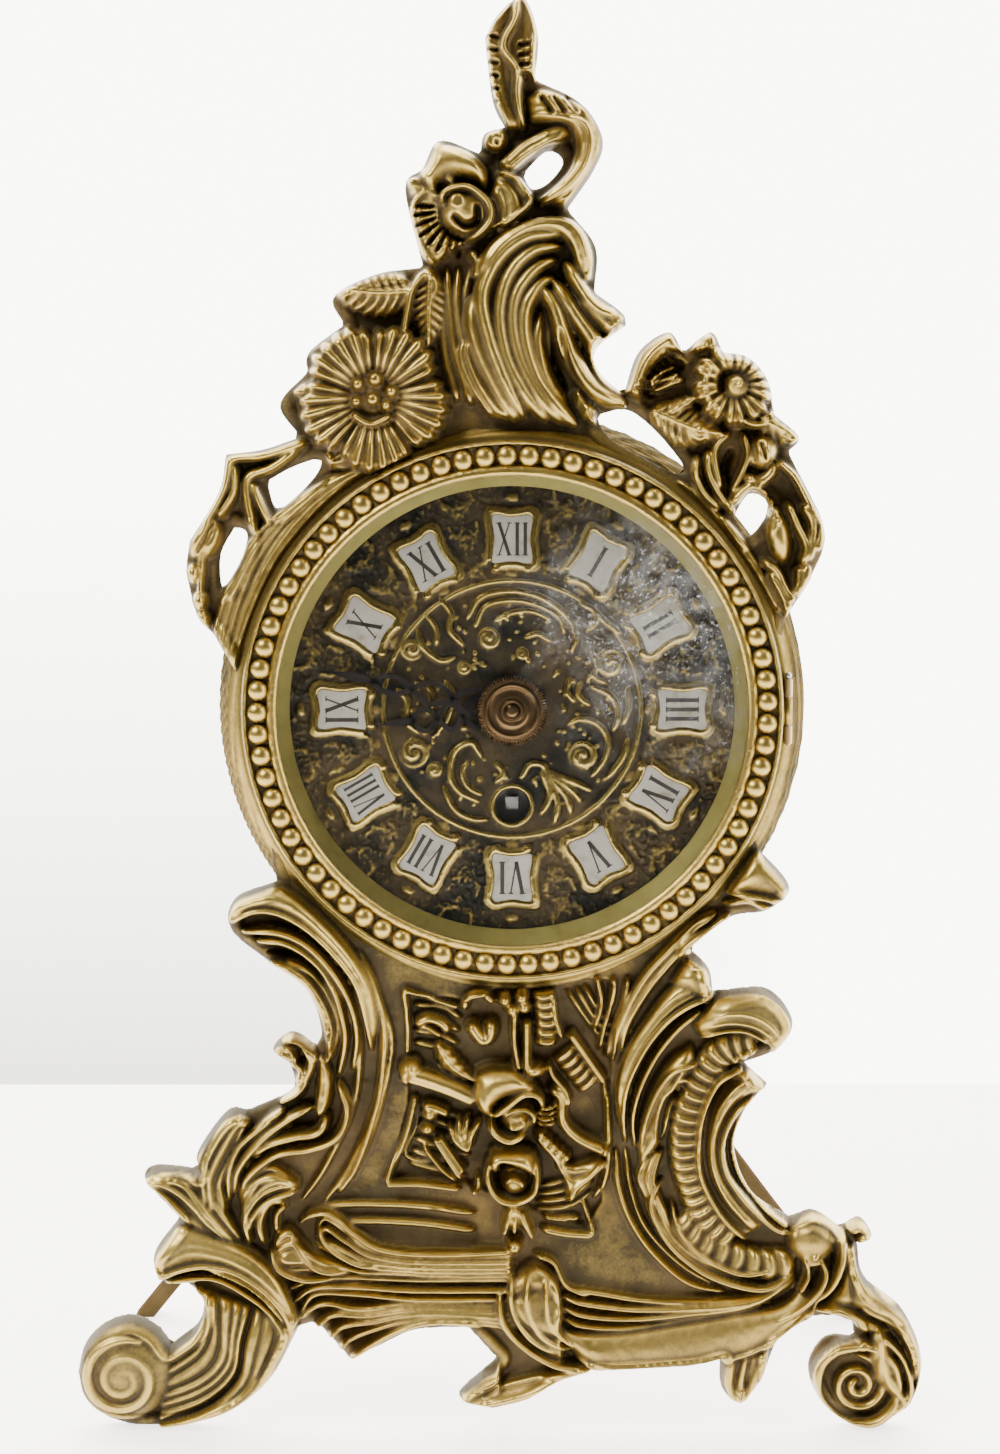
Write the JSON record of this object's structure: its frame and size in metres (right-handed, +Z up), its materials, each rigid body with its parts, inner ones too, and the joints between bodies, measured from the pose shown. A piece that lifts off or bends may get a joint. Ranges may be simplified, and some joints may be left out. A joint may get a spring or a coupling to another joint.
{
  "type": "mantel clock",
  "caption": "Rococo mantel clock: pierced cast brass front on volute feet, beaded hinged bezel, embossed dial, hand-wound balance movement in a drum.",
  "frame": {"origin": "on the standing surface, under the centre of the bounding box", "axes": "+Z up, +X to the right seen from the front, front towards -Y"},
  "size_m": [0.1747, 0.0799, 0.291],
  "materials": {
    "cast_brass": "antiqued cast brass, dark in the recesses",
    "sheet_brass": "satin spun brass",
    "turned_brass": "turned brass",
    "plate_brass": "brushed clock brass",
    "dial_brass": "embossed and darkened brass",
    "gilt": "gilt",
    "copper": "copper-toned brass",
    "steel": "turned steel",
    "spring_steel": "tempered spring steel",
    "black_steel": "black lacquered steel",
    "plaque_white": "off-white plaques",
    "glass": "dusty clear glass"
  },
  "bodies": {
    "case": {"front_casting": "cast_brass", "drum_case": "sheet_brass", "case_screws": "steel", "rear_leg_frame": "cast_brass", "leg_screws": "steel", "hinge_bracket": "turned_brass", "hinge_pin": "steel", "dial_plate": "dial_brass", "dial_cartouches": "plaque_white", "sight_ring": "gilt", "front_plate": "plate_brass", "back_plate": "plate_brass", "pillars": "turned_brass", "pillar_nuts": "steel", "movement_posts": "turned_brass", "movement_screws": "steel", "click_screw": "steel", "click_spring": "spring_steel", "balance_cock": "plate_brass", "cock_screw": "steel", "hairspring": "spring_steel"},
    "bezel": {"bezel_ring": "cast_brass", "bezel_glass": "glass"},
    "cover": {"back_cover": "sheet_brass", "cover_knob": "turned_brass"},
    "minute_body": {"cannon_pinion": "steel", "minute_hand": "black_steel", "hand_setting_disc": "copper", "hand_nut": "copper"},
    "hour_body": {"hour_wheel": "plate_brass", "hour_hand": "black_steel"},
    "minute_wheel_body": {"minute_wheel": "plate_brass"},
    "barrel_body": {"barrel": "plate_brass", "barrel_cap": "plate_brass", "mainspring": "spring_steel"},
    "winding_body": {"winding_arbor": "steel", "ratchet_wheel": "steel"},
    "click_body": {"click": "steel"},
    "centre_body": {"centre_arbor": "steel", "centre_wheel": "plate_brass"},
    "third_body": {"third_arbor": "steel", "third_wheel": "plate_brass"},
    "fourth_body": {"fourth_arbor": "steel", "fourth_wheel": "plate_brass"},
    "escape_body": {"escape_arbor": "steel", "escape_wheel": "plate_brass"},
    "lever_body": {"pallet_lever": "steel"},
    "balance_body": {"balance_staff": "steel", "balance_wheel": "turned_brass"},
    "regulator_body": {"regulator": "steel"}
  },
  "joints": [
    {"name": "bezel_hinge", "type": "hinge", "parent": "case", "child": "bezel", "pos_m": [0.0588, -0.0289, 0.1483], "axis": [0, 0, 1], "range_deg": [0, 110]},
    {"name": "back_cover_pull", "type": "slide", "parent": "case", "child": "cover", "axis": [0, 1, 0], "range_m": [0, 0.03]},
    {"name": "hands_set", "type": "hinge", "parent": "case", "child": "minute_body", "pos_m": [0.0025, 0, 0.1483], "axis": [0, 1, 0], "continuous": true},
    {"name": "hour_turn", "type": "hinge", "parent": "case", "child": "hour_body", "pos_m": [0.0025, 0, 0.1483], "axis": [0, 1, 0], "continuous": true},
    {"name": "minute_wheel_turn", "type": "hinge", "parent": "case", "child": "minute_wheel_body", "pos_m": [0.01039, 0, 0.15117], "axis": [0, 1, 0], "continuous": true},
    {"name": "train_turn", "type": "hinge", "parent": "case", "child": "fourth_body", "pos_m": [-0.00224, 0, 0.16559], "axis": [0, 1, 0], "continuous": true},
    {"name": "third_turn", "type": "hinge", "parent": "case", "child": "third_body", "pos_m": [-0.00854, 0, 0.15468], "axis": [0, 1, 0], "continuous": true},
    {"name": "centre_turn", "type": "hinge", "parent": "case", "child": "centre_body", "pos_m": [0.0025, 0, 0.1483], "axis": [0, 1, 0], "continuous": true},
    {"name": "barrel_turn", "type": "hinge", "parent": "case", "child": "barrel_body", "pos_m": [0.0025, 0, 0.1283], "axis": [0, 1, 0], "continuous": true},
    {"name": "escape_turn", "type": "hinge", "parent": "case", "child": "escape_body", "pos_m": [0.0061, 0, 0.16412], "axis": [0, 1, 0], "continuous": true},
    {"name": "winding_turn", "type": "hinge", "parent": "case", "child": "winding_body", "pos_m": [0.0025, 0, 0.1283], "axis": [0, 1, 0], "range_deg": [0, 2160]},
    {"name": "click_rock", "type": "hinge", "parent": "case", "child": "click_body", "pos_m": [0.0135, 0, 0.1258], "axis": [0, 1, 0], "range_deg": [0, 10], "stiffness_Nm_per_rad": 0.0005, "springref_deg": -17.19},
    {"name": "lever_rock", "type": "hinge", "parent": "case", "child": "lever_body", "pos_m": [0.01113, 0, 0.16738], "axis": [0, 1, 0], "range_deg": [-5, 5]},
    {"name": "balance_swing", "type": "hinge", "parent": "case", "child": "balance_body", "pos_m": [0.017, 0, 0.1712], "axis": [0, 1, 0], "range_deg": [-140, 140], "stiffness_Nm_per_rad": 0.000008},
    {"name": "regulator_turn", "type": "hinge", "parent": "case", "child": "regulator_body", "pos_m": [0.017, 0, 0.1712], "axis": [0, 1, 0], "range_deg": [-20, 20]}
  ],
  "couplings": [
    {"joint": "hour_turn", "follows": "hands_set", "ratio": 0.083333},
    {"joint": "minute_wheel_turn", "follows": "hands_set", "ratio": -0.33333},
    {"joint": "third_turn", "follows": "train_turn", "ratio": -0.125},
    {"joint": "centre_turn", "follows": "train_turn", "ratio": 0.016667},
    {"joint": "barrel_turn", "follows": "train_turn", "ratio": -0.0027778},
    {"joint": "escape_turn", "follows": "train_turn", "ratio": -10}
  ]
}
